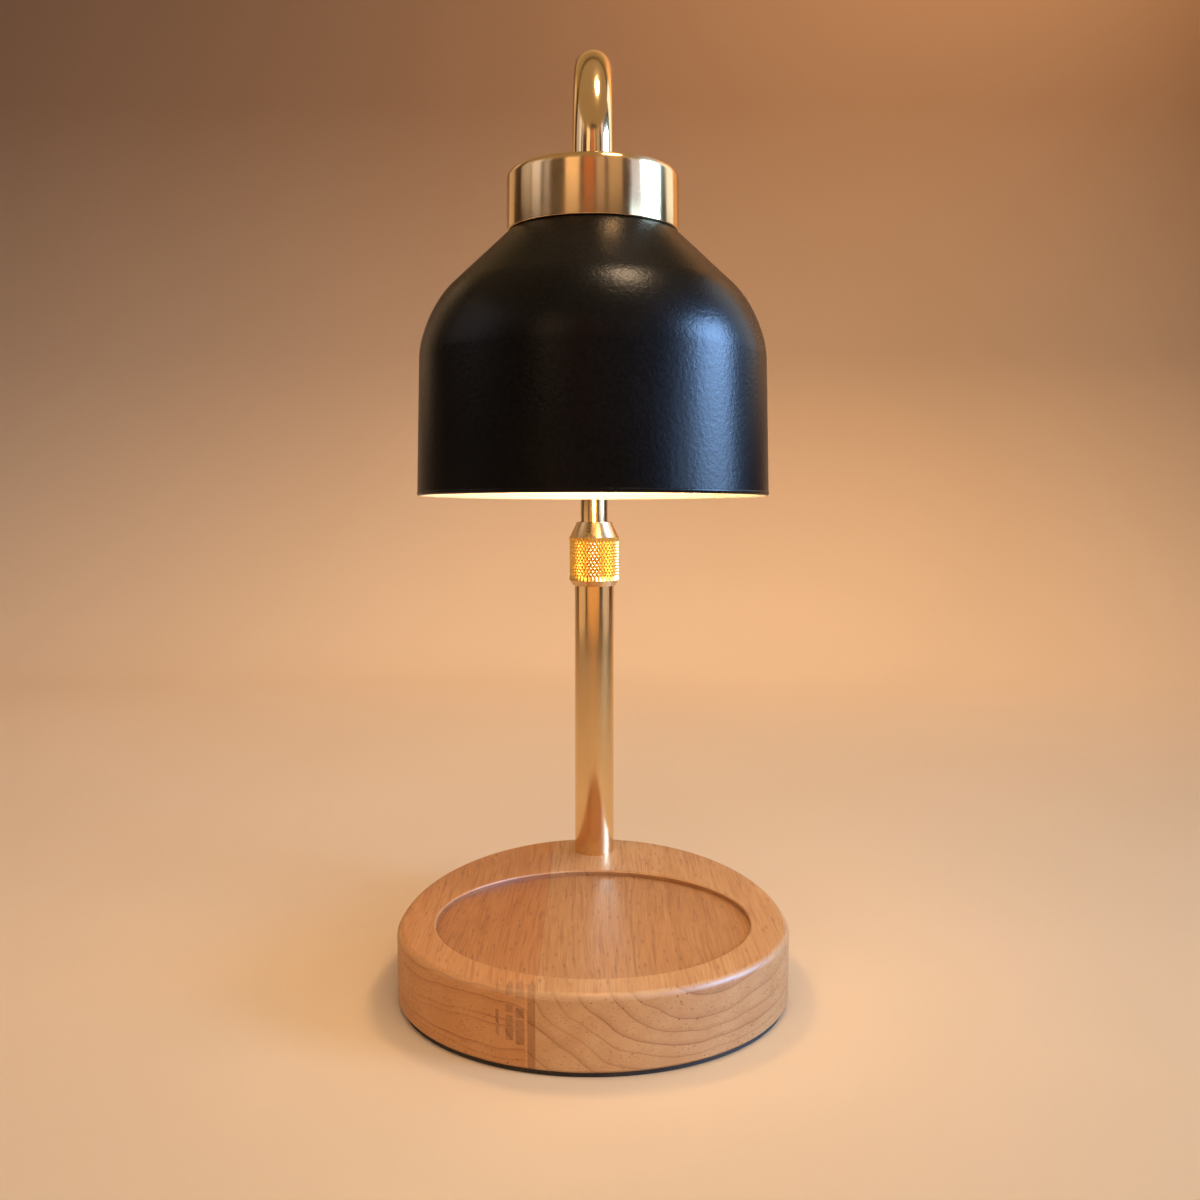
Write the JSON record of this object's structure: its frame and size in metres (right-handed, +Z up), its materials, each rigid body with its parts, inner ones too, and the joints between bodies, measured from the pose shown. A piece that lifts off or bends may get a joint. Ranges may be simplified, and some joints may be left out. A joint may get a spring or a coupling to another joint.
{
  "type": "candle warmer lamp",
  "caption": "Table lamp that melts a candle from above: egg-shaped wood base, telescopic brass post, arched arm and a black bell shade over a downward reflector bulb.",
  "frame": {"origin": "on the table, under the centre of the candle recess", "axes": "+X to the right of someone facing the lamp, +Y back to the post, +Z up"},
  "size_m": [0.13, 0.1618, 0.317],
  "materials": {
    "beech": "satin oiled",
    "brass": "polished",
    "black_paint": "matt powder coat",
    "plated_steel": "zinc plated",
    "dark_rubber": "matt",
    "black_nylon": "matt",
    "white_nylon": "matt",
    "lead_sheath": "matt",
    "white_ceramic": "glazed",
    "mirror_glass": "mirrored",
    "clear_glass": "clear"
  },
  "bodies": {
    "base": {"wood_base": "beech", "ballast_plate": "plated_steel", "ballast_screws": "plated_steel", "bottom_cover": "plated_steel", "cover_screws": "plated_steel", "foot_pad": "dark_rubber", "cord_gland": "black_nylon", "terminal_block": "white_nylon", "post_nipple": "plated_steel", "post_washer": "plated_steel", "post_nut": "plated_steel", "tube_foot": "brass", "lower_tube": "brass", "collet_body": "brass", "base_lead": "lead_sheath", "slack_lead": "lead_sheath"},
    "lock_collar": {"lock_collar": "brass"},
    "lift_guide": {"guide_bush": "white_nylon"},
    "arm": {"slide_rod": "brass", "guide_clips": "plated_steel", "joint_screw": "plated_steel", "arch_tube": "brass", "neck_nipple": "plated_steel", "cap": "brass", "cap_spacer": "plated_steel", "neck_washer": "plated_steel", "neck_nut": "plated_steel", "shade": "black_paint", "holder_bridge": "plated_steel", "holder_screws": "plated_steel", "lampholder": "white_ceramic", "arm_lead": "lead_sheath"},
    "bulb": {"bulb_neck": "white_ceramic", "bulb_pins": "plated_steel", "bulb_reflector": "mirror_glass", "bulb_capsule": "clear_glass", "bulb_lens": "clear_glass"}
  },
  "joints": [
    {"name": "height_slide", "type": "slide", "parent": "base", "child": "lift_guide", "axis": [0, 0, 1], "range_m": [-0.04, 0.03], "deforming": ["slack_lead"]},
    {"name": "arm_swing", "type": "hinge", "parent": "lift_guide", "child": "arm", "pos_m": [0, 0.07816, 0.15], "axis": [0, 0, 1], "range_deg": [-90, 90]},
    {"name": "collar_turn", "type": "hinge", "parent": "base", "child": "lock_collar", "pos_m": [0, 0.07816, 0.142], "axis": [0, 0, 1], "range_deg": [0, 180]},
    {"name": "bulb_twist", "type": "hinge", "parent": "arm", "child": "bulb", "pos_m": [0, 0, 0.166], "axis": [0, 0.0384, 0.9993], "range_deg": [0, 60]}
  ]
}
